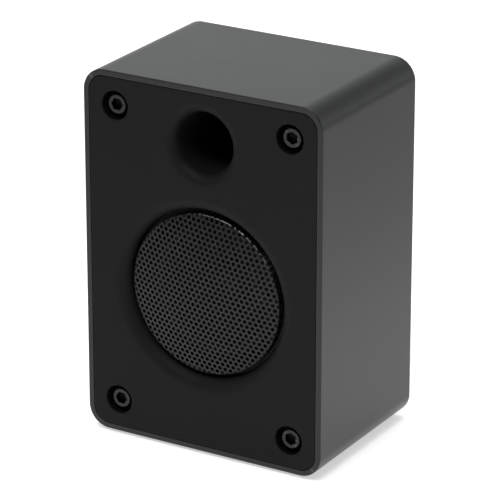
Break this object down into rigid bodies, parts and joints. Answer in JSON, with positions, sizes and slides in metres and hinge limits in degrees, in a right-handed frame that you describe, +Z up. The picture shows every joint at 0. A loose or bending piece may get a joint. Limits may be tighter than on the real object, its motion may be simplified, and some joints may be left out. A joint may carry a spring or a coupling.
{
  "type": "bookshelf speaker",
  "caption": "Small bookshelf loudspeaker: metal sleeve, black baffle with a flared port, domed round grille over one driver, rear push terminals and bracket inserts.",
  "frame": {"origin": "middle of the feet's plane under the cabinet", "axes": "+Z up, front face towards -Y, +X to the right as the front is faced"},
  "size_m": [0.115, 0.0796, 0.1642],
  "materials": {
    "sleeve": "satin dark grey anodised",
    "baffle": "fine matte black moulding",
    "rubber": "matte black",
    "foam_seal": "closed-cell foam",
    "black_screw": "black oxide",
    "zinc_screw": "zinc plated",
    "grille_metal": "dark grey satin paint",
    "felt": "black felt",
    "port_plastic": "matte black",
    "frame_metal": "black paint",
    "surround_rubber": "soft black rubber",
    "cone_paper": "pressed pulp",
    "cap_cloth": "doped cloth",
    "former_paper": "kraft paper",
    "copper": "enamelled copper wire",
    "spider_cloth": "phenolic-dipped cloth",
    "motor_steel": "zinc plated",
    "ferrite": "ground ferrite",
    "tag_board": "phenolic board",
    "brass": "bright",
    "rear_plastic": "fine matte black moulding",
    "terminal_plastic": "black, slight gloss",
    "lever_red": "red",
    "lever_black": "black",
    "pin_steel": "bright",
    "spring_steel": "bright",
    "wire_red": "red insulation",
    "wire_black": "black insulation",
    "wadding": "open-cell foam"
  },
  "bodies": {
    "cabinet": {"cabinet_shell": "sleeve", "rubber_feet": "rubber", "front_baffle": "baffle", "baffle_gasket": "foam_seal", "front_screws": "black_screw", "grille": "grille_metal", "grille_ring": "felt", "port_tube": "port_plastic", "driver_frame": "frame_metal", "driver_gasket": "foam_seal", "driver_screws": "black_screw", "driver_surround": "surround_rubber", "spider": "spider_cloth", "motor_front_plate": "motor_steel", "magnet": "ferrite", "motor_back_plate": "motor_steel", "driver_tag_strip": "tag_board", "driver_tags": "brass", "tinsel_leads": "copper", "rear_panel": "rear_plastic", "rear_gasket": "foam_seal", "rear_screws": "black_screw", "bracket_inserts": "brass", "terminal_housing": "terminal_plastic", "terminal_gasket": "foam_seal", "terminal_screws": "zinc_screw", "terminal_contacts": "brass", "lever_pin": "pin_steel", "lever_springs": "spring_steel", "wire_red": "wire_red", "wire_black": "wire_black", "damping_foam": "wadding"},
    "diaphragm": {"driver_cone": "cone_paper", "dust_cap": "cap_cloth", "coil_former": "former_paper", "voice_coil": "copper"},
    "lever_red": {"lever_red": "lever_red"},
    "lever_black": {"lever_black": "lever_black"}
  },
  "joints": [
    {"name": "diaphragm_travel", "type": "slide", "parent": "cabinet", "child": "diaphragm", "axis": [0, -1, 0], "range_m": [-0.0025, 0.0025], "stiffness_N_per_m": 900, "deforming": ["driver_surround", "spider", "tinsel_leads"]},
    {"name": "lever_red_press", "type": "hinge", "parent": "cabinet", "child": "lever_red", "pos_m": [-0.00925, 0.0347, 0.043], "axis": [1, 0, 0], "range_deg": [0, 18], "stiffness_Nm_per_rad": 0.08, "springref_deg": -17.19, "deforming": ["lever_springs"]},
    {"name": "lever_black_press", "type": "hinge", "parent": "cabinet", "child": "lever_black", "pos_m": [0.00925, 0.0347, 0.043], "axis": [1, 0, 0], "range_deg": [0, 18], "stiffness_Nm_per_rad": 0.08, "springref_deg": -17.19, "deforming": ["lever_springs"]}
  ]
}
